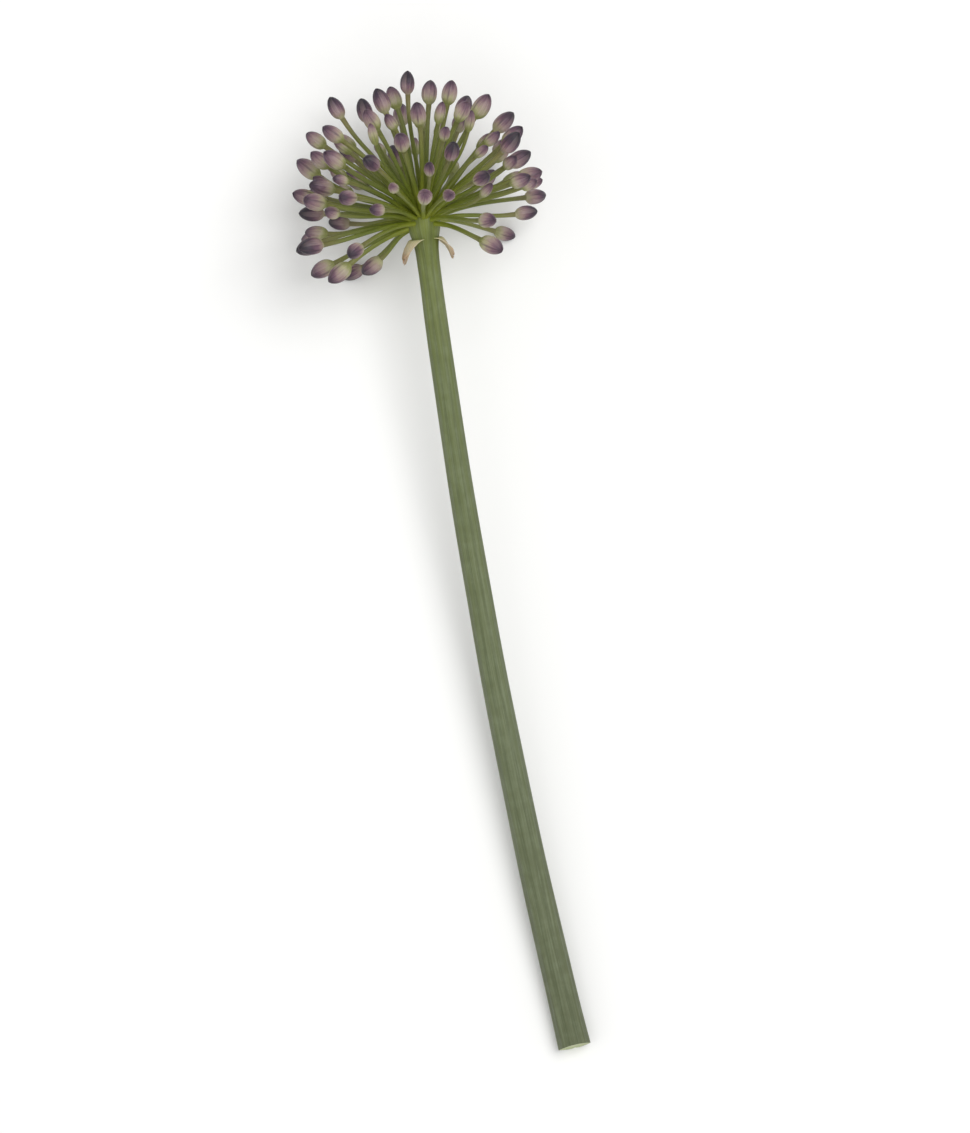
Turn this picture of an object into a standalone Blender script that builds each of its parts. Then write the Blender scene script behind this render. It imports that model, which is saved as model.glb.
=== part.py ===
# Allium flower head in bud, picked with a length of its stalk and laid down on a flat surface.
#
# Frame: metres, +Z up, the surface is z = 0, +Y runs along the stalk from its cut end to the flower head,
# and the origin is under the middle of the whole flower.
#
# Pieces: the scape (the flower stalk with its domed top), two papery spathe valves under the umbel, and
# the florets, each a pedicel with its closed bud, which radiate from the dome.

import math
import random

import bmesh
import bpy
import numpy as np

# Stalk
STALK_LENGTH = 0.132  # cut end to the middle of the umbel
STALK_FOOT_RADIUS = 0.0023
STALK_TOP_RADIUS = 0.00155
STALK_BOW = 0.002  # sideways bend at the middle
STALK_SAG = 0.0008  # downward bend at the middle
STALK_SIDES = 18
STALK_RIBS = 6
SHAFT_SHARE = 0.94  # of the length, up to where the flare begins
EDGE_DEPTH = 0.09  # the stalk is two-edged: this much wider across the edges
RIB_DEPTH = 0.045
CUT_SLANT = math.radians(16)

# Umbel
UMBEL_HEIGHT = 0.0158  # middle of the umbel above the surface
DOME_RADIUS = 0.0027  # the domed top of the stalk, which carries the florets
# The flare under the dome, as shares of the dome's radius: distance below its middle, and half width.
FLARE = ((2.3, 0.60), (1.5, 0.66), (1.0, 0.75), (0.65, 0.85), (0.37, 0.93))
DOME_REACH = math.radians(112)  # how far round the dome florets are seated, from its top
SEAT_GAP = 0.0003
CLEARANCE = 0.00018  # between neighbouring florets
ROUNDS = 220  # of moving florets apart
STEP = 0.3  # the share of each overlap that one round clears

# Floret
PEDICEL_RADIUS = 0.00037
BUD_RADIUS = 0.0013
BUD_LENGTH = 0.0041
BUD_SIZES = (0.88, 1.08)  # the smallest and the largest bud, as shares of the size above
BUD_TILT = 0.16  # how far a bud's own axis strays from its pedicel's, as a share
SURFACE_TILT = -0.30  # steepest downward slope of a bud that lies on the surface
SURFACE_ZONE = 0.004  # a bud this near the surface lies over on its side

# Spathe valves
VALVE_LENGTH = 0.0036
VALVE_SPREAD = 0.0019  # how far a valve's tip stands out from its seat
VALVE_THICKNESS = 0.00032
VALVE_SEAT = 0.0028  # below the middle of the umbel, along the stalk
VALVE_SEAT_RADIUS = 0.0024
VALVE_ARCH = 0.0008  # how far a valve rises before it turns back
VALVE_HALF_WIDTH = math.radians(62)  # round the stalk, at the seat
VALVE_SIDES = (math.radians(155), math.radians(-20))  # where round the stalk the two valves sit

# The florets that make the head's outline seen from above, one for each row: how far round it points from
# the stalk's line (degrees, clockwise), its bud's distance from the middle of the umbel (mm) and how
# far it rises out of the level (degrees).
OUTLINE_FLORETS = (
    (-118, 11.3, -22),
    (-111, 15.5, 8),
    (-104, 17.5, -8),
    (-92, 18.3, 6),
    (-84, 17.7, -17),
    (-76, 17.9, 14),
    (-67, 19.1, -3),
    (-62, 17.7, 22),
    (-54, 20.2, -7),
    (-49, 19.1, 14),
    (-42, 21.3, -3),
    (-36, 20.2, 17),
    (-27, 22.5, 2),
    (-17, 20.9, -14),
    (-9, 20.1, 10),
    (-3, 20.7, -10),
    (4, 21.9, 5),
    (13, 20.7, -6),
    (22, 20.7, 11),
    (29, 19.9, -12),
    (37, 20.2, 4),
    (49, 20.1, 0),
    (57, 19.7, 14),
    (66, 18.3, -8),
    (77, 18.2, 9),
    (94, 16.5, -12),
    (122, 14.9, 40),
)

# The other florets, in tiers above and below that outline: rise out of the level (degrees), how far
# round the first and the last point (degrees), how many there are, and their buds' distance (mm).
TIERS = (
    (30, -92, 84, 8, 19.7),
    (56, -104, 102, 7, 19.3),
    (82, 20, 20, 1, 18.9),
    (-27, -88, 82, 7, 19.7),
    (-52, -112, 100, 7, 19.4),
)
TIER_JITTER = 5.0  # degrees


# ---- small helpers


def material(name, colour, roughness):
    made = bpy.data.materials.new(name)
    made.use_nodes = True
    shader = made.node_tree.nodes["Principled BSDF"]
    shader.inputs["Base Color"].default_value = (*colour, 1)
    shader.inputs["Roughness"].default_value = roughness
    shader.inputs["Metallic"].default_value = 0
    return made


def place(name, data, parent, location, finish):
    """Adds one named object to the scene."""
    obj = bpy.data.objects.new(name, data)
    bpy.context.scene.collection.objects.link(obj)
    obj.parent = parent
    obj.location = location
    data.materials.append(finish)
    return obj


def unit(vectors):
    return vectors / np.linalg.norm(vectors, axis=-1, keepdims=True)


def direction(round_deg, rise_deg):
    """A unit vector: degrees clockwise from +Y seen from above, and degrees above the level."""
    turn, rise = math.radians(round_deg), math.radians(rise_deg)
    return np.array([math.sin(turn) * math.cos(rise), math.cos(turn) * math.cos(rise), math.sin(rise)])


# ---- the stalk


def stalk_point(share):
    """The stalk's centreline, from the cut end (0) to the middle of the umbel (1)."""
    bend = 4 * share * (1 - share)
    foot = STALK_FOOT_RADIUS * (1 - EDGE_DEPTH)
    return np.array(
        [
            -STALK_BOW * bend,
            STALK_LENGTH * (share - 1),
            foot + (UMBEL_HEIGHT - foot) * share - STALK_SAG * bend,
        ]
    )


def stalk_axes(share):
    """Along, sideways and upward unit vectors of the stalk at a share of its length."""
    step = 0.005
    along = unit(stalk_point(share + step) - stalk_point(share - step))
    side = unit(np.cross(along, [0, 0, 1]))
    return along, side, np.cross(side, along)


UMBEL = stalk_point(1)
UMBEL_AXIS, UMBEL_SIDE, UMBEL_UP = stalk_axes(1)


def stalk_ring(centre, axes, radius, ribbing, slant=0):
    """One cross-section: two blunt edges left and right, with low ribs between them."""
    along, side, up = axes
    ring = []
    for i in range(STALK_SIDES):
        turn = 2 * math.pi * i / STALK_SIDES
        relief = EDGE_DEPTH * math.cos(2 * turn) + RIB_DEPTH * math.cos(STALK_RIBS * turn)
        reach = radius * (1 + ribbing * relief)
        level = reach * math.sin(turn)
        ring.append(centre + side * reach * math.cos(turn) + up * level + along * level * math.tan(slant))
    return ring


def stalk_rings():
    """The stalk's cross-sections, from the slanted cut to the crown of the dome."""
    rings = [stalk_ring(stalk_point(0), stalk_axes(0), STALK_FOOT_RADIUS, 1, CUT_SLANT)]
    shaft = 18
    for i in range(1, shaft):
        share = SHAFT_SHARE * i / (shaft - 1)
        radius = STALK_FOOT_RADIUS + (STALK_TOP_RADIUS - STALK_FOOT_RADIUS) * share**0.8
        rings.append(stalk_ring(stalk_point(share), stalk_axes(share), radius, 1))
    axes = (UMBEL_AXIS, UMBEL_SIDE, UMBEL_UP)
    for number, (below, width) in enumerate(FLARE, start=1):
        centre = UMBEL - UMBEL_AXIS * DOME_RADIUS * below
        rings.append(stalk_ring(centre, axes, DOME_RADIUS * width, 1 - number / len(FLARE)))
    for polar in (88, 66, 44, 22):
        turn = math.radians(polar)
        centre = UMBEL + UMBEL_AXIS * DOME_RADIUS * math.cos(turn)
        rings.append(stalk_ring(centre, axes, DOME_RADIUS * math.sin(turn), 0))
    return rings


def make_stalk(parent, finish):
    mesh = bmesh.new()
    loops = [[mesh.verts.new(point) for point in ring] for ring in stalk_rings()]
    for lower, upper in zip(loops, loops[1:]):
        for i in range(STALK_SIDES):
            j = (i + 1) % STALK_SIDES
            mesh.faces.new((lower[i], lower[j], upper[j], upper[i]))
    mesh.faces.new(loops[0])
    crown = mesh.verts.new(UMBEL + UMBEL_AXIS * DOME_RADIUS)
    for i in range(STALK_SIDES):
        mesh.faces.new((loops[-1][i], loops[-1][(i + 1) % STALK_SIDES], crown))
    bmesh.ops.recalc_face_normals(mesh, faces=mesh.faces)
    data = bpy.data.meshes.new("scape")
    mesh.to_mesh(data)
    mesh.free()
    data.shade_smooth()
    data.set_sharp_from_angle(angle=math.radians(50))
    return place("scape", data, parent, (0, 0, 0), finish)


# ---- the spathe valves


def make_valve(name, parent, middle, finish):
    """A papery bract that clasps the stalk under the umbel and turns back; middle is where round the stalk."""
    across, rows = 8, 6
    mesh = bmesh.new()
    grid = []
    for row in range(rows + 1):
        share = row / rows
        out = VALVE_SEAT_RADIUS + VALVE_SPREAD * share**1.2
        below = VALVE_SEAT + VALVE_LENGTH * share - VALVE_ARCH * math.sin(math.pi * share)
        half = VALVE_HALF_WIDTH * (1 - 0.82 * share**1.4) * VALVE_SEAT_RADIUS / out
        line = []
        for column in range(across + 1):
            turn = middle + half * (2 * column / across - 1)
            radial = UMBEL_SIDE * math.cos(turn) + UMBEL_UP * math.sin(turn)
            line.append(mesh.verts.new(radial * out - UMBEL_AXIS * below))
        grid.append(line)
    for row in range(rows):
        for column in range(across):
            corners = (grid[row][column], grid[row][column + 1])
            mesh.faces.new((*corners, grid[row + 1][column + 1], grid[row + 1][column]))
    bmesh.ops.recalc_face_normals(mesh, faces=mesh.faces)
    data = bpy.data.meshes.new(name)
    mesh.to_mesh(data)
    mesh.free()
    valve = place(name, data, parent, UMBEL, finish)
    thickness = valve.modifiers.new("thickness", "SOLIDIFY")
    thickness.thickness = VALVE_THICKNESS
    thickness.offset = 0
    return valve


# ---- the florets

# Stations along a floret: shares of its pedicel's length, then shares of its bud's length with the
# share of the bud's radius there.
PEDICEL_STATIONS = (0, 0.2, 0.4, 0.6, 0.8)
BUD_STATIONS = (
    (0, 1.15 * PEDICEL_RADIUS / BUD_RADIUS),
    (0.08, 0.56),
    (0.24, 0.87),
    (0.44, 1.0),
    (0.64, 0.96),
    (0.83, 0.70),
    (0.95, 0.38),
    (1, 0.16),
)
# How far each station goes with the bud, and not with the floret's seat, when florets move apart.
WITH_BUD = np.array(PEDICEL_STATIONS + (1,) * len(BUD_STATIONS))


class Florets:
    """All the florets while they are laid out: a row of each array for each floret.

    Lengths are in metres from the middle of the umbel. seats are unit vectors to the florets' seats on
    the dome, buds are the middles of the buds, stray turns each bud a little off its pedicel's line.
    """

    def __init__(self, chance):
        self.buds = first_layout(chance)
        self.reach = np.linalg.norm(self.buds, axis=1)[:, None]
        self.size = np.array([[chance.uniform(*BUD_SIZES)] for _ in self.buds])
        self.stray = np.array([[chance.uniform(-BUD_TILT, BUD_TILT) for _ in range(3)] for _ in self.buds])
        self.seats = self.first_seats()

    def first_seats(self):
        """Seats under the buds, drawn in to the part of the dome that carries florets."""
        height = unit(self.buds) @ UMBEL_AXIS
        outward = unit(self.buds - (self.buds @ UMBEL_AXIS)[:, None] * UMBEL_AXIS)
        polar = np.minimum(np.arccos(height) * 0.9, DOME_REACH)[:, None]
        return np.cos(polar) * UMBEL_AXIS + np.sin(polar) * outward

    def bud_axes(self):
        """Which way each bud points: out from the umbel, but lying over where it is near the surface."""
        axes = unit(unit(self.buds) + self.stray)
        near = self.buds[:, 2] + UMBEL_HEIGHT < SURFACE_ZONE
        axes[near, 2] = np.maximum(axes[near, 2], SURFACE_TILT)
        return unit(axes)

    def radii(self):
        """The radius at every station of every floret."""
        pedicel = np.full((len(self.buds), len(PEDICEL_STATIONS)), PEDICEL_RADIUS)
        bud = self.size * BUD_RADIUS * np.array([wide for _, wide in BUD_STATIONS])
        return np.hstack([pedicel, bud])

    def centrelines(self):
        """The point at every station of every floret: a smooth pedicel, then a straight bud."""
        axes = self.bud_axes()
        start = self.seats * (DOME_RADIUS + SEAT_GAP)
        joint = self.buds - axes * self.size * BUD_LENGTH / 2
        pull = 0.36 * np.linalg.norm(joint - start, axis=1)[:, None]
        corners = (start, start + self.seats * pull, joint - axes * pull, joint)
        line = []
        for s in PEDICEL_STATIONS:
            weights = ((1 - s) ** 3, 3 * s * (1 - s) ** 2, 3 * s * s * (1 - s), s**3)
            line.append(sum(weight * corner for weight, corner in zip(weights, corners)))
        for s, _ in BUD_STATIONS:
            line.append(joint + axes * self.size * BUD_LENGTH * s)
        return np.stack(line, axis=1)

    def push_apart(self):
        """How far each station has to move to clear the other florets."""
        points = self.centrelines()
        count, stations = points.shape[:2]
        points = points.reshape(-1, 3)
        radii = self.radii().reshape(-1)
        need = radii[:, None] + radii[None] + CLEARANCE
        owner = np.repeat(np.arange(count), stations)
        need[owner[:, None] == owner[None]] = 0
        between = points[:, None] - points[None]
        distance = np.linalg.norm(between, axis=2) + 1e-9
        short = np.clip(need - distance, 0, None)
        return (between * (short / distance)[..., None]).sum(axis=1).reshape(count, stations, 3)

    def keep_on_dome(self):
        self.seats = unit(self.seats)
        height = self.seats @ UMBEL_AXIS
        outward = unit(self.seats - height[:, None] * UMBEL_AXIS)
        low = height < math.cos(DOME_REACH)
        self.seats[low] = math.cos(DOME_REACH) * UMBEL_AXIS + math.sin(DOME_REACH) * outward[low]

    def keep_above_surface(self):
        """Keeps each bud at its distance from the umbel, and lifts it if it is below the surface."""
        self.buds = unit(self.buds) * self.reach
        slope = self.bud_axes()[:, 2]
        half_length, radius = self.size[:, 0] * BUD_LENGTH / 2, self.size[:, 0] * BUD_RADIUS
        half_height = np.sqrt((half_length * slope) ** 2 + radius**2 * (1 - slope**2))
        self.buds[:, 2] = np.maximum(self.buds[:, 2], half_height - UMBEL_HEIGHT)

    def settle(self):
        """Moves florets that touch apart, a little in each round, as they shoulder each other aside."""
        for _ in range(ROUNDS):
            push = self.push_apart()
            self.buds = self.buds + STEP * (push * WITH_BUD[:, None]).sum(axis=1)
            shift = (push * (1 - WITH_BUD[:, None])).sum(axis=1) / DOME_RADIUS
            self.seats = self.seats + STEP * shift
            self.keep_on_dome()
            self.keep_above_surface()


def first_layout(chance):
    """The middle of each bud before its neighbours and the surface move it."""
    buds = [direction(turn, rise) * reach for turn, reach, rise in OUTLINE_FLORETS]
    for rise, first, last, count, reach in TIERS:
        for i in range(count):
            turn = first + (last - first) * i / max(count - 1, 1)
            stray = [chance.uniform(-TIER_JITTER, TIER_JITTER) for _ in range(2)]
            buds.append(direction(turn + stray[0], rise + stray[1]) * (reach + chance.uniform(-0.8, 0.8)))
    return np.array(buds) / 1000


def make_florets(parent, finish):
    """Every floret is a curve with a radius at each station: a pedicel that swells into its closed bud."""
    florets = Florets(random.Random(7))
    florets.settle()
    for number, (line, radii) in enumerate(zip(florets.centrelines(), florets.radii()), start=1):
        name = f"floret_{number:02d}"
        curve = bpy.data.curves.new(name, "CURVE")
        curve.dimensions = "3D"
        curve.bevel_depth = PEDICEL_RADIUS
        curve.bevel_resolution = 1
        curve.use_fill_caps = True
        spline = curve.splines.new("POLY")
        spline.points.add(len(line) - 1)
        for station, point, radius in zip(spline.points, line - line[0], radii):
            station.co = (*point, 1)
            station.radius = radius / PEDICEL_RADIUS
        place(name, curve, parent, UMBEL + line[0], finish)


# ---- the whole flower


def stand_over_origin(root):
    """Moves the flower so that the origin is under its middle, on the surface."""
    bpy.context.view_layer.update()
    graph = bpy.context.evaluated_depsgraph_get()
    corners = []
    for obj in bpy.context.scene.objects:
        if obj.type == "EMPTY":
            continue
        shape = obj.evaluated_get(graph)
        mesh = shape.to_mesh()
        corners += [shape.matrix_world @ vertex.co for vertex in mesh.vertices]
        shape.to_mesh_clear()
    low = np.min(corners, axis=0)
    high = np.max(corners, axis=0)
    root.location = (-(low[0] + high[0]) / 2, -(low[1] + high[1]) / 2, -low[2])


def main():
    for obj in list(bpy.data.objects):
        bpy.data.objects.remove(obj)
    root = bpy.data.objects.new("flower", None)
    bpy.context.scene.collection.objects.link(root)
    stalk_green = material("stalk_green", (0.14, 0.18, 0.06), 0.5)
    bud_mauve = material("bud_mauve", (0.36, 0.24, 0.30), 0.5)
    paper_cream = material("paper_cream", (0.60, 0.56, 0.36), 0.7)
    make_stalk(root, stalk_green)
    make_valve("spathe_valve_left", root, VALVE_SIDES[0], paper_cream)
    make_valve("spathe_valve_right", root, VALVE_SIDES[1], paper_cream)
    make_florets(root, bud_mauve)
    stand_over_origin(root)


main()
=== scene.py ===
import math
import random

import bmesh
import bpy
import numpy as np
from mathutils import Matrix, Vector


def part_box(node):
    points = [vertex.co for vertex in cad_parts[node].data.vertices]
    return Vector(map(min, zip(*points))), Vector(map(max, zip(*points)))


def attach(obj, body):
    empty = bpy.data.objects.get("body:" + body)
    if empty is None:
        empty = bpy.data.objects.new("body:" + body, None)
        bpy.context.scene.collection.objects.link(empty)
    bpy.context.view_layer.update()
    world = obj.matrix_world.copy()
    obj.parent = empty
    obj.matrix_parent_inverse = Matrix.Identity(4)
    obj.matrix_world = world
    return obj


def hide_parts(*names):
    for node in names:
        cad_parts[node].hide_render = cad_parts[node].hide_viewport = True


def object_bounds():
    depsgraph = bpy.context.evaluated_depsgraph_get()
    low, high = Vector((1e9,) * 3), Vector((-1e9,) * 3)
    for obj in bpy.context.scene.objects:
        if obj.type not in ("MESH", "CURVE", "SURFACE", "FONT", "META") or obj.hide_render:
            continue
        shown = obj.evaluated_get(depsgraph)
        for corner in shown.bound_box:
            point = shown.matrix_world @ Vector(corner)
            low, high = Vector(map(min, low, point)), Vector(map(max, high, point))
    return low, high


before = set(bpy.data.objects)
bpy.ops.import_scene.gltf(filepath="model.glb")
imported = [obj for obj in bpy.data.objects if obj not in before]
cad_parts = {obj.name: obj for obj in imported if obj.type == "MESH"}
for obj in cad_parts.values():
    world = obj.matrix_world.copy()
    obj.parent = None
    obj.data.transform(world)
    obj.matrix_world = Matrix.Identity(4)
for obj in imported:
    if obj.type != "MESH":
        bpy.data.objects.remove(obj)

# An allium flower head in bud, picked and laid down on a pale floor. Lengths are in metres.
# The CAD gives where everything lies: the stalk with its domed top, the two papery valves under the
# umbel, and the florets. Every floret here is a copy of one modelled floret, bent along its CAD solid.
# Young florets, which have no solid in the CAD, fill the inside of the umbel.

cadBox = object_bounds()
chance = random.Random(12)


# Small helpers

def deselectAll():
    if bpy.context.object and bpy.context.object.mode != "OBJECT":
        bpy.ops.object.mode_set(mode="OBJECT")
    bpy.ops.object.select_all(action="DESELECT")


def activate(piece):
    deselectAll()
    piece.select_set(True)
    bpy.context.view_layer.objects.active = piece


def mixed(first, second, share):
    return first + (second - first) * share


def ringsAlong(node, start):
    # The rings of corners along a CAD solid, from the corners in start: (middle, mean radius) of each.
    solid = bmesh.new()
    solid.from_mesh(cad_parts[node].data)
    bmesh.ops.remove_doubles(solid, verts=solid.verts, dist=0.00001)
    ring = start(solid.verts)
    done, rings = set(ring), []
    while ring:
        middle = sum((corner.co for corner in ring), Vector()) / len(ring)
        rings.append((middle, sum((corner.co - middle).length for corner in ring) / len(ring)))
        beyond = {edge.other_vert(corner) for corner in ring for edge in corner.link_edges}
        ring = list(beyond - done)
        done.update(ring)
    solid.free()
    return rings


def wayThrough(points):
    # A smooth curve through the points, for a Curve modifier to bend a piece along.
    data = bpy.data.curves.new("way", "CURVE")
    data.dimensions = "3D"
    spline = data.splines.new("BEZIER")
    spline.bezier_points.add(len(points) - 1)
    for knot, point in zip(spline.bezier_points, points):
        knot.co = point
        knot.handle_left_type = knot.handle_right_type = "AUTO"
    way = bpy.data.objects.new("way", data)
    bpy.context.scene.collection.objects.link(way)
    return way


def bendAlong(piece, way):
    # Bends a piece that stands along Z from the origin, then removes the curve it was bent along.
    activate(piece)
    bend = piece.modifiers.new("bend", "CURVE")
    bend.object = way
    bend.deform_axis = "POS_Z"
    bpy.ops.object.modifier_apply(modifier="bend")
    data = way.data
    bpy.data.objects.remove(way)
    bpy.data.curves.remove(data)


def extrudeStations(stations):
    # Draws the selected face up through (height, radius) stations.
    for (height, radius), (nextHeight, nextRadius) in zip(stations, stations[1:]):
        bpy.ops.mesh.extrude_region_move(TRANSFORM_OT_translate={"value": (0, 0, nextHeight - height)})
        bpy.ops.transform.resize(value=(nextRadius / radius, nextRadius / radius, 1))


def smoothStations(knots, count):
    # Stations at even steps on a smooth line through a few (height, radius) knots.
    heights = [height for height, radius in knots]
    radii = [radius for height, radius in knots]
    slopes = np.gradient(radii, heights)
    stations = []
    for height in np.linspace(heights[0], heights[-1], count):
        i = min(int(np.searchsorted(heights, height, side="right")) - 1, len(knots) - 2)
        span = heights[i + 1] - heights[i]
        t = (height - heights[i]) / span
        radius = (
            (1 + 2 * t) * (1 - t) ** 2 * radii[i]
            + t * (1 - t) ** 2 * span * slopes[i]
            + t * t * (3 - 2 * t) * radii[i + 1]
            + t * t * (t - 1) * span * slopes[i + 1]
        )
        stations.append((float(height), float(radius)))
    return stations


def addAttribute(piece, name, kind, values):
    attribute = piece.data.attributes.new(name, kind, "POINT")
    attribute.data.foreach_set("vector" if kind == "FLOAT_VECTOR" else "value", np.ravel(values))


# Shader maths: a wire is a socket that can be added, multiplied and so on, and each sum is a Math node.

class Wire:
    def __init__(self, finish, socket):
        self.finish = finish
        self.socket = socket

    def sum(self, operation, first, second):
        return self.finish.node("ShaderNodeMath", {"operation": operation}, {0: first, 1: second})

    def __add__(self, other):
        return self.sum("ADD", self, other)

    def __sub__(self, other):
        return self.sum("SUBTRACT", self, other)

    def __rsub__(self, other):
        return self.sum("SUBTRACT", other, self)

    def __mul__(self, other):
        return self.sum("MULTIPLY", self, other)

    __radd__ = __add__
    __rmul__ = __mul__


class Finish:
    def __init__(self, name):
        self.material = bpy.data.materials.new(name)
        self.material.use_nodes = True
        self.tree = self.material.node_tree
        self.shader = self.tree.nodes["Principled BSDF"]

    def node(self, kind, settings, sockets, output=0):
        made = self.tree.nodes.new(kind)
        for name, value in settings.items():
            if name == "stops":
                self.setStops(made.color_ramp, value)
            else:
                setattr(made, name, value)
        for name, value in sockets.items():
            self.feed(made.inputs[name], value)
        return Wire(self, made.outputs[output])

    def setStops(self, ramp, stops):
        while len(ramp.elements) < len(stops):
            ramp.elements.new(0.5)
        for element, (position, colour) in zip(ramp.elements, stops):
            element.position = position
            element.color = (*colour, 1)

    def feed(self, socket, value):
        if isinstance(value, Wire):
            self.tree.links.new(value.socket, socket)
        else:
            socket.default_value = value

    def set(self, **values):
        for name, value in values.items():
            self.feed(self.shader.inputs[name.replace("_", " ")], value)

    def attribute(self, name, output="Fac"):
        return self.node("ShaderNodeAttribute", {"attribute_name": name}, {}, output)

    def split(self, vector):
        return [self.node("ShaderNodeSeparateXYZ", {}, {0: vector}, i) for i in range(3)]

    def join(self, x, y, z):
        return self.node("ShaderNodeCombineXYZ", {}, {0: x, 1: y, 2: z})

    def between(self, value, low, high):
        # 0 below low and 1 above high, smoothly.
        sockets = {"Value": value, "From Min": low, "From Max": high}
        return self.node("ShaderNodeMapRange", {"interpolation_type": "SMOOTHSTEP"}, sockets)

    def noise(self, vector, scale, detail=3, roughness=0.55):
        sockets = {"Vector": vector, "Scale": scale, "Detail": detail, "Roughness": roughness}
        return self.node("ShaderNodeTexNoise", {}, sockets, "Fac")

    def blend(self, first, second, share, kind="MIX"):
        settings = {"data_type": "RGBA", "blend_type": kind}
        sockets = {"Factor": share, 6: first, 7: second}
        return self.node("ShaderNodeMix", settings, sockets, 2)

    def bump(self, height, distance, strength=1.0):
        sockets = {"Height": height, "Distance": distance, "Strength": strength}
        return self.node("ShaderNodeBump", {}, sockets)

    def angle(self, x, y):
        return self.node("ShaderNodeMath", {"operation": "ARCTAN2"}, {0: y, 1: x})

    def cosine(self, value):
        return self.node("ShaderNodeMath", {"operation": "COSINE"}, {0: value})


# Where the CAD has everything

def dome(corners):
    return [max(corners, key=lambda corner: corner.co.y)]


stalkRings = ringsAlong("scape", dome)[::-1]
crown = stalkRings[-1][0]
umbel = stalkRings[-5][0]  # the ring at the dome's widest, next to the middle of the umbel
umbelAxis = (crown - umbel).normalized()
domeRadius = (crown - umbel).length


def floretSeat(corners):
    return sorted(corners, key=lambda corner: (corner.co - umbel).length)[:6]  # a floret has six sides


floretNodes = sorted(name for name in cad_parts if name.startswith("floret_"))
floretRings = {name: ringsAlong(name, floretSeat) for name in floretNodes}
print("read the frame:", len(floretNodes), "florets,", len(stalkRings), "rings along the stalk")


# The finish of the florets

floretColours = {
    "stalkFoot": (0.250, 0.280, 0.016),
    "stalkMiddle": (0.130, 0.155, 0.008),
    "stalkTop": (0.170, 0.175, 0.050),
    "budStops": [
        (0.00, (0.26, 0.28, 0.09)),
        (0.16, (0.40, 0.38, 0.22)),
        (0.34, (0.31, 0.225, 0.20)),
        (0.52, (0.160, 0.085, 0.115)),
        (0.70, (0.055, 0.027, 0.050)),
        (0.90, (0.018, 0.012, 0.022)),
    ],
    "keel": (0.050, 0.026, 0.040),
    "innerTepal": (0.44, 0.34, 0.32),
    "veins": (0.55, 0.50, 0.52),
    # painted highlight: a pale yellow-green laid on the stalklets for sunlit sheen
    "paintedHighlight": (0.46, 0.50, 0.12),
    "flush": (0.20, 0.11, 0.10),  # of a ripe floret's stalklet, next to its bud
    "tint": (0.50, 0.62, 0.34),
}


def floretFinish():
    finish = Finish("floretFinish")
    x, y, along = finish.split(finish.attribute("growth", "Vector"))
    ripeness = finish.attribute("ripeness")
    tint = finish.attribute("tint")
    place = finish.node("ShaderNodeTexCoord", {}, {}, "Object")
    turn = finish.angle(x, y)
    threefold = finish.cosine(turn * 3)  # 1 along the three outer keels, -1 along the inner ones
    onBud = finish.between(along, 0.985, 1.01)
    up = finish.node("ShaderNodeClamp", {}, {"Value": along - 1})  # the share of the bud's length

    streaks = finish.noise(finish.join(x * 5, y * 5, along * 1.4 + tint * 40), 1.6, 4, 0.6)
    fine = finish.noise(finish.join(x * 16, y * 16, along * 2.2 + tint * 40), 1.5, 2, 0.5)
    mottle = finish.noise(place, 900, 3, 0.6)

    ripe = up * 0.86 + (ripeness - 0.5) * 0.55 + (streaks - 0.5) * 0.42 + (mottle - 0.5) * 0.22
    bud = finish.node("ShaderNodeValToRGB", {"stops": floretColours["budStops"]}, {"Fac": ripe})
    inner = finish.between(threefold, -0.35, -0.55) * finish.between(up, 0.12, 0.3)
    bud = finish.blend(bud, (*floretColours["innerTepal"], 1), inner * (1 - up) * 0.55)
    keel = finish.between(threefold + (fine - 0.5) * 0.08, 0.90, 0.985) * finish.between(up, 0.06, 0.4)
    bud = finish.blend(bud, (*floretColours["keel"], 1), keel * (0.35 + ripeness * 0.45))
    veins = finish.between(finish.cosine(turn * 33 + (streaks - 0.5) * 5), 0.2, 1.0)
    bud = finish.blend(bud, (*floretColours["veins"], 1), veins * 0.35, "MULTIPLY")

    stops = [
        (0.0, floretColours["stalkFoot"]),
        (0.45, floretColours["stalkMiddle"]),
        (1.0, floretColours["stalkTop"]),
    ]
    stalk = finish.node("ShaderNodeValToRGB", {"stops": stops}, {"Fac": along + (mottle - 0.5) * 0.3})
    # Painted highlight: where the fine noise is high, pale streaks lighten the stalklet as if sunlit.
    paintedHighlight = finish.between(fine, 0.50, 0.72)
    stalk = finish.blend(stalk, (*floretColours["paintedHighlight"], 1), paintedHighlight * 0.45)
    flush = finish.between(along, 0.7, 1.0) * ripeness
    stalk = finish.blend(stalk, (*floretColours["flush"], 1), flush * 0.35)
    stalk = finish.blend(stalk, (*floretColours["tint"], 1), tint * 0.5, "MULTIPLY")

    relief = streaks * 0.5 + fine * 0.3 + veins * 0.35 * onBud + mottle * 0.25
    finish.set(
        Base_Color=finish.blend(stalk, bud, onBud),
        Roughness=0.42 + mottle * 0.2 - keel * 0.08,
        Normal=finish.bump(relief, 0.00005, 0.7),
        Subsurface_Weight=0.18,
        Subsurface_Radius=(0.6, 0.55, 0.25),
        Subsurface_Scale=0.0008,
        Specular_IOR_Level=0.45,
    )
    return finish


# One floret, standing on the origin along Z: the stalklet (pedicel) and its closed bud. Three outer
# tepals with keels lap over three inner ones, and the middle of an outer one is on the X axis.

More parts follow.
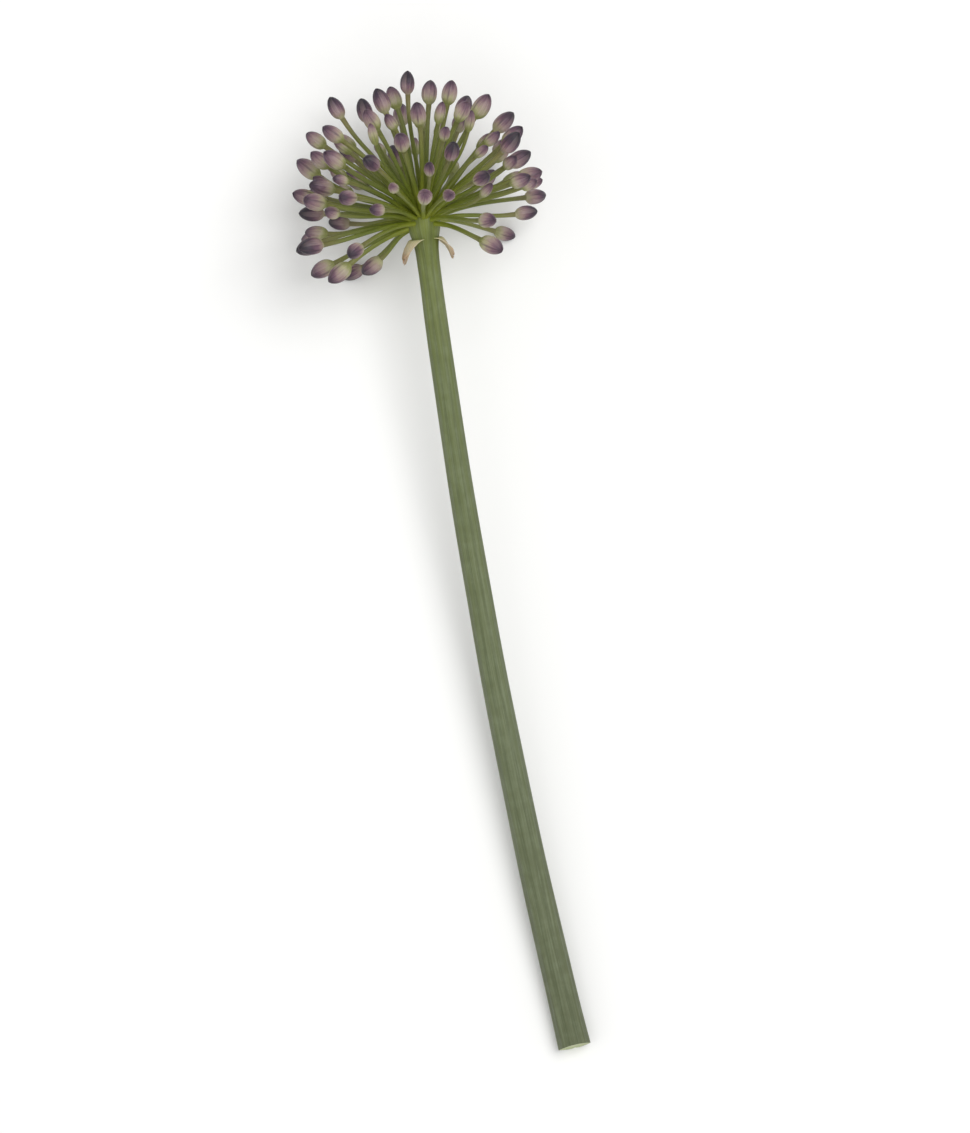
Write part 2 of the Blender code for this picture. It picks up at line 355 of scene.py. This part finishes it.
floretPart = {
    "sides": 48,
    "stalkLength": 0.015,
    "stalkKnots": [
        (0, 0.00052), (0.04, 0.00042), (0.2, 0.00036), (0.6, 0.00034), (0.92, 0.00038), (1, 0.00043),
    ],
    "stalkRows": 15,
    "budLength": 0.0042,
    "budRadius": 0.00121,
    "budKnots": [
        (0, 0.355), (0.04, 0.50), (0.12, 0.735), (0.25, 0.93), (0.42, 1.0), (0.60, 0.955),
        (0.75, 0.80), (0.86, 0.60), (0.94, 0.38), (0.985, 0.17), (1, 0.07),
    ],
    "budRows": 19,
    "lapAngle": 39.0,  # degrees from a keel to the edge of its outer tepal
    "lapStep": 0.085,
    "keelHeight": 0.055,
    "keelWidth": 6,  # degrees
    "tuckAngle": 1.2,  # degrees from an outer tepal's edge to the corners tucked under it
    "tepalStart": 0.18,  # the share of the bud where the tepals stand out fully
    "innerDrop": 0.00016,  # how much lower the inner tepals end
    "stalkRibs": 0.05,
    "snug": 0.98,  # the bud's width beside its CAD solid's
}


def tepalRelief(fromKeel):
    # The share of the bud's radius at an angle in degrees from the nearest outer keel.
    part = floretPart
    if fromKeel <= part["lapAngle"]:
        keel = part["keelHeight"] * math.exp(-((fromKeel / part["keelWidth"]) ** 2))
        return 1 + keel - 0.02 * (fromKeel / part["lapAngle"]) ** 2
    return 1 - part["lapStep"] + 0.03 * (fromKeel - part["lapAngle"]) / (60 - part["lapAngle"])


def shapeTepals(piece):
    # Keels, overlapping edges and low ribs on the round shape that the stations gave.
    part = floretPart
    growth = []
    for vertex in piece.data.vertices:
        radius = math.hypot(vertex.co.x, vertex.co.y)
        turn = math.atan2(vertex.co.y, vertex.co.x)
        fromKeel = abs((math.degrees(turn) + 60) % 120 - 60)
        up = (vertex.co.z - part["stalkLength"]) / part["budLength"]
        along = 1 + up if up > 0 else vertex.co.z / part["stalkLength"]
        growth.append((math.cos(turn), math.sin(turn), along))
        if up > 0:
            side = 1 if (math.degrees(turn) + 60) % 120 > 60 else -1
            if abs(fromKeel - 45) < 1:  # these corners lie close under the outer tepal's edge
                turn += side * math.radians(part["lapAngle"] + part["tuckAngle"] - fromKeel)
                fromKeel = part["lapAngle"] + part["tuckAngle"]
            strength = min(1, up / part["tepalStart"])
            radius *= 1 + (tepalRelief(fromKeel) - 1) * strength
            if fromKeel > part["lapAngle"]:
                vertex.co.z -= part["innerDrop"] * max(0, up - 0.8) / 0.2
        else:
            radius *= 1 + part["stalkRibs"] * math.cos(3 * turn)
        vertex.co.x = radius * math.cos(turn)
        vertex.co.y = radius * math.sin(turn)
    addAttribute(piece, "growth", "FLOAT_VECTOR", growth)


def modelFloret():
    part = floretPart
    knots = [(share * part["stalkLength"], radius) for share, radius in part["stalkKnots"]]
    stalk = smoothStations(knots, part["stalkRows"])
    bud = smoothStations(part["budKnots"], part["budRows"])
    bud = [(part["stalkLength"] + h * part["budLength"], r * part["budRadius"]) for h, r in bud]
    stations = stalk + bud[1:]
    deselectAll()
    bpy.ops.mesh.primitive_circle_add(vertices=part["sides"], radius=stations[0][1], fill_type="NGON")
    piece = bpy.context.object
    piece.name = "floretModel"
    bpy.ops.object.mode_set(mode="EDIT")
    bpy.ops.transform.rotate(value=math.radians(90), orient_axis="Z", center_override=(0, 0, 0))
    extrudeStations(stations)
    bpy.ops.mesh.select_all(action="SELECT")
    bpy.ops.mesh.normals_make_consistent(inside=False)
    bpy.ops.object.mode_set(mode="OBJECT")
    shapeTepals(piece)
    bpy.ops.object.shade_smooth_by_angle(angle=math.radians(48))
    piece.data.materials.append(floretLook.material)
    return piece


def growFloret(model, name, points, budLength, budWidth, ripeness):
    # A copy of the modelled floret, fitted to its length and bud, turned and bent along the points.
    part = floretPart
    piece = model.copy()
    piece.data = model.data.copy()
    piece.name = piece.data.name = name
    bpy.context.scene.collection.objects.link(piece)
    way = wayThrough(points)
    stalkLength = way.data.splines[0].calc_length() - budLength
    spin = chance.uniform(0, 2 * math.pi)
    cosine, sine = math.cos(spin), math.sin(spin)
    for vertex in piece.data.vertices:
        x, y, z = vertex.co
        up = max(0, z - part["stalkLength"]) / part["budLength"]
        width = mixed(mixed(1, budWidth, 0.6), budWidth, min(1, up * 6))
        along = min(z, part["stalkLength"]) / part["stalkLength"] * stalkLength + up * budLength
        vertex.co = ((x * cosine - y * sine) * width, (x * sine + y * cosine) * width, along)
    count = len(piece.data.vertices)
    addAttribute(piece, "ripeness", "FLOAT", [ripeness] * count)
    addAttribute(piece, "tint", "FLOAT", [chance.random()] * count)
    bendAlong(piece, way)
    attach(piece, "root")
    return piece


floretGrowth = {
    "sunk": 0.0009,  # how far a stalklet's foot starts inside the dome
    "jointRing": 5,  # the ring where the stalklet meets its bud
    "ripeness": (0.30, 1.05),
    "shyFacing": 0.30,  # how much less ripe the buds on the upper side are
}


def floretWay(rings):
    seat = rings[0][0]
    inward = (rings[0][0] - rings[1][0]).normalized()
    joint = floretGrowth["jointRing"]
    middles = [middle for middle, _ in rings[: joint + 1]]
    return [seat + inward * floretGrowth["sunk"], *middles, rings[-1][0]]


def growCadFlorets(model):
    for name, rings in floretRings.items():
        joint, tip = rings[floretGrowth["jointRing"]][0], rings[-1][0]
        widest = max(radius for _, radius in rings)
        facing = max(0, (tip - umbel).normalized().z)
        ripeness = chance.uniform(*floretGrowth["ripeness"]) - floretGrowth["shyFacing"] * facing
        budLength = (tip - joint).length
        budWidth = widest / floretPart["budRadius"] * floretPart["snug"]
        fineName = name.replace("floret", "fineFloret")
        piece = growFloret(model, fineName, floretWay(rings), budLength, budWidth, ripeness)
        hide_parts(name)


# Young florets, shorter and greener, that stand between the others inside the umbel

youngPart = {
    "count": 38,
    "tries": 220,
    "reach": (0.0125, 0.0185),
    "budLength": (0.0027, 0.0036),
    "budWidth": (0.62, 0.82),
    "widestTurn": math.radians(80),  # away from the umbel's own axis
    "ripeness": (-0.05, 0.45),
    "floorRoom": 0.0012,
    "pull": 0.36,  # how far the ends of a way pull on its middle, as a share of its length
}


def sampleLine(points, steps=4):
    # More points on straight runs between the given ones.
    points = np.array(points)
    shares = np.linspace(0, 1, steps, endpoint=False)[:, None]
    runs = [first + (second - first) * shares for first, second in zip(points, points[1:])]
    return np.vstack(runs + [points[-1:]])


def youngWay(direction, reach, budLength, stray):
    # Out of the dome along its normal and into the bud along the bud's own direction.
    polar = min(umbelAxis.angle(direction) * 0.9, youngPart["widestTurn"])
    outward = (direction - umbelAxis * direction.dot(umbelAxis)).normalized()
    seat = umbelAxis * math.cos(polar) + outward * math.sin(polar)
    budAxis = (direction + stray).normalized()
    tip = umbel + direction * (reach + budLength / 2)
    joint = tip - budAxis * budLength
    start = umbel + seat * (domeRadius - floretGrowth["sunk"] / 2)
    pull = (joint - start).length * youngPart["pull"]
    corners = (start, start + seat * pull, joint - budAxis * pull, joint)
    way = []
    for share in np.linspace(0, 1, 6):
        weights = ((1 - share) ** 3, 3 * share * (1 - share) ** 2, 3 * share**2 * (1 - share), share**3)
        way.append(sum((corner * weight for corner, weight in zip(corners, weights)), Vector()))
    return way + [tip]


def growYoungFlorets(model):
    taken = np.vstack([sampleLine([middle for middle, _ in rings[1:]]) for rings in floretRings.values()])
    floor = cadBox[0].z
    for number in range(1, youngPart["count"] + 1):
        best = (-1, None)
        for _ in range(youngPart["tries"]):
            direction = Vector([chance.gauss(0, 1) for _ in range(3)]).normalized()
            reach = chance.uniform(*youngPart["reach"])
            budLength = chance.uniform(*youngPart["budLength"])
            stray = Vector([chance.uniform(-0.2, 0.2) for _ in range(3)])
            if umbelAxis.angle(direction) > youngPart["widestTurn"]:
                continue
            way = youngWay(direction, reach, budLength, stray)
            if min(point.z for point in way) < floor + youngPart["floorRoom"]:
                continue
            line = sampleLine(way[3:])
            room = float(np.linalg.norm(line[:, None] - taken[None], axis=2).min())
            if room > best[0]:
                best = (room, way, budLength)
        room, way, budLength = best
        taken = np.vstack([taken, sampleLine(way)])
        growFloret(
            model, f"youngFloret_{number:02d}", way, budLength,
            chance.uniform(*youngPart["budWidth"]), chance.uniform(*youngPart["ripeness"]),
        )


# The stalk

stalkColours = {
    "stops": [
        (0.0, (0.092, 0.108, 0.050)),
        (0.35, (0.110, 0.132, 0.062)),
        (0.80, (0.112, 0.138, 0.042)),
        (0.96, (0.130, 0.158, 0.026)),
        (1.0, (0.190, 0.225, 0.022)),
    ],
    "bloom": (0.27, 0.31, 0.20),
    # painted shade for the grooves between the ribs
    "paintedGrooveShade": (0.046, 0.060, 0.018),
    "fibres": (0.60, 0.66, 0.48),
    "pith": (0.62, 0.66, 0.42),
    "pithShade": (0.40, 0.46, 0.24),
}


def stalkFinish():
    finish = Finish("stalkFinish")
    x, y, along = finish.split(finish.attribute("growth", "Vector"))
    pith = finish.attribute("pith")
    place = finish.node("ShaderNodeTexCoord", {}, {}, "Object")
    turn = finish.angle(x, y)
    streaks = finish.noise(finish.join(x * 4, y * 4, along * 7), 2.2, 4, 0.6)
    fibres = finish.noise(finish.join(x * 22, y * 22, along * 16), 1.3, 3, 0.6)
    mottle = finish.noise(place, 420, 4, 0.6)
    ribs = finish.cosine(turn * stalkPart["ribs"])
    sockets = {"Fac": along + (mottle - 0.5) * 0.05}
    colour = finish.node("ShaderNodeValToRGB", {"stops": stalkColours["stops"]}, sockets)
    # Painted shade: the grooves between the modelled ribs are darkened, loosened by the streak noise.
    paintedGrooveShade = finish.between(ribs + (streaks - 0.5) * 1.2, 0.1, -0.9)
    colour = finish.blend(colour, (*stalkColours["paintedGrooveShade"], 1), paintedGrooveShade * 0.3)
    bloom = finish.between(streaks * 0.6 + mottle * 0.4, 0.42, 0.68)
    colour = finish.blend(colour, (*stalkColours["bloom"], 1), bloom * 0.26)
    strands = finish.between(fibres, 0.35, 0.75)
    colour = finish.blend(colour, (*stalkColours["fibres"], 1), strands * 0.45, "MULTIPLY")
    grain = finish.noise(place, 2600, 3, 0.7)
    flesh = finish.blend((*stalkColours["pith"], 1), (*stalkColours["pithShade"], 1), grain)
    finish.set(
        Base_Color=finish.blend(colour, flesh, pith),
        Roughness=0.46 + mottle * 0.16 - bloom * 0.06,
        Normal=finish.bump(fibres * 0.6 + streaks * 0.5 + mottle * 0.2, 0.00008, 0.6),
        Subsurface_Weight=0.10,
        Subsurface_Radius=(0.6, 0.5, 0.25),
        Subsurface_Scale=0.0008,
        Specular_IOR_Level=0.45,
    )
    return finish


stalkPart = {
    "sides": 96,
    "rows": 120,
    "ribs": 8,
    "ribDepth": 0.03,
    "edgeDepth": 0.085,  # the stalk is two-edged: wider across than from top to underside
    "slant": math.tan(math.radians(16)),
    "rim": 0.93,  # the cut face's inner ring, as a share of its radius
    "sunkPith": 0.00018,
    "tipRadius": 0.00004,
    "reliefEnd": (0.93, 0.04),  # where the ribs start to fade below the flare, and over what share
    "wave": 0.012,
    "slantLength": 0.006,  # how much of the foot leans with the cut
}


def modelStalk():
    part = stalkPart
    heights = [0.0]
    for (first, _), (second, _) in zip(stalkRings, stalkRings[1:]):
        heights.append(heights[-1] + (second - first).length)
    length = heights[-1]
    knots = [(height, radius) for height, (_, radius) in zip(heights, stalkRings)]
    shaft = smoothStations(knots[:-4], part["rows"])
    tip = part["tipRadius"]
    top = [(height, max(radius, tip)) for height, radius in smoothStations(knots[-5:-1], 12)[1:]]
    stations = shaft + top + [(length, tip)]
    deselectAll()
    bpy.ops.mesh.primitive_circle_add(vertices=part["sides"], radius=stations[0][1], fill_type="NGON")
    piece = bpy.context.object
    piece.name = "flowerStalk"
    bpy.ops.object.mode_set(mode="EDIT")
    extrudeStations(stations)
    bpy.ops.mesh.select_all(action="SELECT")
    bpy.ops.mesh.normals_make_consistent(inside=False)
    bpy.ops.object.mode_set(mode="OBJECT")
    cutFoot(piece)
    growth, pith = [], []
    fadeStart, fadeShare = part["reliefEnd"]
    for vertex in piece.data.vertices:
        x, y, z = vertex.co
        radius = math.hypot(x, y)
        turn = math.atan2(y, x)
        foot = stations[0][1]
        onCut = z < 0.0005 and radius < foot * 0.97
        pith.append(1.0 if onCut else 0.0)
        growth.append((math.cos(turn), math.sin(turn), z / length))
        fade = 1 - min(1, max(0, z / length - fadeStart) / fadeShare)
        ribs = part["ribDepth"] * math.cos(part["ribs"] * turn)
        relief = part["edgeDepth"] * math.cos(2 * turn) + ribs
        wave = part["wave"] * math.sin(z * 210 + 2 * math.cos(turn))
        swell = 1 + (relief + wave) * fade
        slanted = y * part["slant"] * max(0, 1 - z / part["slantLength"])
        vertex.co = (x * swell, y * swell, z + slanted)
    addAttribute(piece, "growth", "FLOAT_VECTOR", growth)
    addAttribute(piece, "pith", "FLOAT", pith)
    activate(piece)
    bpy.ops.object.shade_smooth_by_angle(angle=math.radians(50))
    bendAlong(piece, wayThrough([middle for middle, _ in stalkRings]))
    piece.data.materials.append(stalkLook.material)
    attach(piece, "root")
    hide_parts("scape")


def cutFoot(piece):
    # The cut face: a rim of skin with the pith a little sunk inside it.
    activate(piece)
    bpy.ops.object.mode_set(mode="EDIT")
    bpy.ops.mesh.select_all(action="DESELECT")
    bpy.ops.mesh.select_mode(type="FACE")
    mesh = bmesh.from_edit_mesh(piece.data)
    for face in mesh.faces:
        if face.normal.z < -0.9 and face.calc_center_median().z < 0.0001:
            face.select = True
    bmesh.update_edit_mesh(piece.data)
    radius = stalkRings[0][1]
    bpy.ops.mesh.inset(thickness=radius * (1 - stalkPart["rim"]), depth=0)
    bpy.ops.mesh.inset(thickness=radius * 0.05, depth=-stalkPart["sunkPith"])
    for _ in range(4):
        bpy.ops.mesh.inset(thickness=radius * 0.17, depth=-0.00001)
    bpy.ops.mesh.poke()
    bpy.ops.object.mode_set(mode="OBJECT")


# The papery spathe valves under the umbel

valvePart = {
    "across": 28,
    "along": 26,
    "thickness": 0.00010,
    "halfTurn": math.radians(64),
    "length": 0.0034,
    "spread": 0.0015,
    "seatRadius": 0.00235,
    "seatBelow": 0.0026,
    "arch": 0.0011,
    "curl": 0.0005,
}
valveColours = {
    "stops": [
        (0.0, (0.34, 0.36, 0.13)),
        (0.35, (0.58, 0.53, 0.32)),
        (0.75, (0.62, 0.52, 0.36)),
        (1.0, (0.42, 0.28, 0.17)),
    ],
    "veins": (0.30, 0.22, 0.11),
    "fibres": (0.42, 0.20, 0.20),
}


def valveFinish():
    finish = Finish("valveFinish")
    across, along, chanceShare = finish.split(finish.attribute("growth", "Vector"))
    place = finish.node("ShaderNodeTexCoord", {}, {}, "Object")
    mottle = finish.noise(place, 700, 4, 0.65)
    fibres = finish.noise(finish.join(across * 26, along * 2, chanceShare), 1.5, 3, 0.6)
    veins = finish.between(finish.cosine(across * 34 + (mottle - 0.5) * 1.4), 0.55, 1.0)
    sockets = {"Fac": along + (mottle - 0.5) * 0.35}
    colour = finish.node("ShaderNodeValToRGB", {"stops": valveColours["stops"]}, sockets)
    colour = finish.blend(colour, (*valveColours["veins"], 1), veins * 0.45)
    strands = finish.between(fibres, 0.5, 0.8)
    colour = finish.blend(colour, (*valveColours["fibres"], 1), strands * 0.28)
    finish.set(
        Base_Color=colour,
        Roughness=0.62 + mottle * 0.15,
        Normal=finish.bump(veins * 0.7 + fibres * 0.5, 0.00006, 0.7),
        Subsurface_Weight=0.25,
        Subsurface_Radius=(0.7, 0.55, 0.3),
        Subsurface_Scale=0.0006,
    )
    return finish


def modelValve(node, name, seed):
    part = valvePart
    wander = random.Random(seed)
    low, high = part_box(node)
    side = (low + high) / 2 - umbel
    radial = (side - umbelAxis * side.dot(umbelAxis)).normalized()
    beside = umbelAxis.cross(radial)
    waves = []
    for _ in range(4):
        waves.append((wander.uniform(3, 9), wander.uniform(0, 6), wander.uniform(0.00005, 0.00014)))
    deselectAll()
    bpy.ops.mesh.primitive_grid_add(x_subdivisions=part["across"], y_subdivisions=part["along"], size=2)
    piece = bpy.context.object
    piece.name = name
    growth = []
    for vertex in piece.data.vertices:
        across, share = vertex.co.x, (vertex.co.y + 1) / 2
        ragged = 0.05 * math.sin(across * 9 + seed) + 0.04 * math.sin(across * 23 + 2 * seed)
        reach = share * (1 + ragged * share - 0.12 * abs(across) ** 3)
        growth.append((across, share, float(seed)))
        out = part["seatRadius"] + part["spread"] * reach**1.25
        arch = part["arch"] * math.sin(math.pi * min(1, reach))
        below = part["seatBelow"] + part["length"] * reach - arch
        narrow = (1 - share**2.2) ** 0.6 * 0.93 + 0.07
        turn = part["halfTurn"] * across * narrow * part["seatRadius"] / out
        curl = part["curl"] * across**2 * share
        ripples = [size * math.sin(rate * across + 3 * share + shift) for rate, shift, size in waves]
        wave = sum(ripples) * share
        outward = radial * math.cos(turn) + beside * math.sin(turn)
        vertex.co = umbel + outward * (out + curl + wave) - umbelAxis * below
    addAttribute(piece, "growth", "FLOAT_VECTOR", growth)
    activate(piece)
    thickness = piece.modifiers.new("thickness", "SOLIDIFY")
    thickness.thickness = part["thickness"]
    thickness.offset = 0
    bpy.ops.object.modifier_apply(modifier="thickness")
    bpy.ops.object.mode_set(mode="EDIT")
    bpy.ops.mesh.select_all(action="SELECT")
    bpy.ops.mesh.normals_make_consistent(inside=False)
    bpy.ops.object.mode_set(mode="OBJECT")
    bpy.ops.object.shade_smooth_by_angle(angle=math.radians(60))
    piece.data.materials.append(valveLook.material)
    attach(piece, "root")
    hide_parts(node)


# The floor, the lights and the camera

studio = {
    "floorSize": 8.0,
    "floorColour": (0.86, 0.86, 0.85, 1),
    "sky": (1.0, 1.0, 1.0, 1),
    "skyStrength": 0.54,
    "lens": 150,
    "frameHeight": 0.176,  # what the picture takes in from top to bottom, at the flower's height
    "roll": math.radians(-10.4),
    "lights": [  # name, place from the flower's middle, size across, power
        ("keyLight", (0.30, 0.18, 0.78), 0.60, 4.7),
        ("fillLight", (-0.6, 0.1, 0.6), 0.9, 1.3),
        ("frontLight", (-0.1, -0.6, 0.7), 0.7, 1.1),
    ],
}


def layFloor():
    deselectAll()
    bpy.ops.mesh.primitive_plane_add(size=studio["floorSize"], location=(0, 0, cadBox[0].z))
    floor = bpy.context.object
    floor.name = "floor"
    finish = Finish("floorFinish")
    place = finish.node("ShaderNodeTexCoord", {}, {}, "Object")
    finish.set(
        Base_Color=studio["floorColour"],
        Roughness=0.85,
        Normal=finish.bump(finish.noise(place, 900, 2), 0.00002, 0.3),
        Specular_IOR_Level=0.2,
    )
    floor.data.materials.append(finish.material)


def addLight(name, place, size, power, target):
    light = bpy.data.lights.new(name, "AREA")
    light.shape = "DISK"
    light.size = size
    light.energy = power
    lamp = bpy.data.objects.new(name, light)
    bpy.context.scene.collection.objects.link(lamp)
    lamp.location = target + Vector(place)
    lamp.rotation_euler = (-Vector(place)).to_track_quat("-Z", "Y").to_euler()


def setStudio():
    scene = bpy.context.scene
    middle = (cadBox[0] + cadBox[1]) / 2
    world = bpy.data.worlds.new("sky")
    world.use_nodes = True
    world.node_tree.nodes["Background"].inputs["Color"].default_value = studio["sky"]
    world.node_tree.nodes["Background"].inputs["Strength"].default_value = studio["skyStrength"]
    scene.world = world
    for name, place, size, power in studio["lights"]:
        addLight(name, place, size, power, middle)
    camera = bpy.data.cameras.new("camera")
    camera.lens = studio["lens"]
    camera.sensor_width = 36
    camera.clip_start, camera.clip_end = 0.01, 20
    camera.dof.use_dof = False
    eye = bpy.data.objects.new("camera", camera)
    scene.collection.objects.link(eye)
    distance = studio["frameHeight"] * studio["lens"] / camera.sensor_width
    eye.location = middle + Vector((0, 0, distance))
    eye.rotation_euler = (0, 0, studio["roll"])
    scene.camera = eye
    scene.view_settings.view_transform = "Standard"


floretLook = floretFinish()
stalkLook = stalkFinish()
valveLook = valveFinish()

modelStalk()
print("the stalk is modelled")
modelValve("spathe_valve_left", "paperyValveLeft", 3)
modelValve("spathe_valve_right", "paperyValveRight", 8)
print("the papery valves are modelled")
floretModel = modelFloret()
growCadFlorets(floretModel)
print("the florets are grown:", len(floretNodes))
growYoungFlorets(floretModel)
print("the young florets are grown:", youngPart["count"])
bpy.data.objects.remove(floretModel)
layFloor()
setStudio()
print("the floor, lights and camera are set")
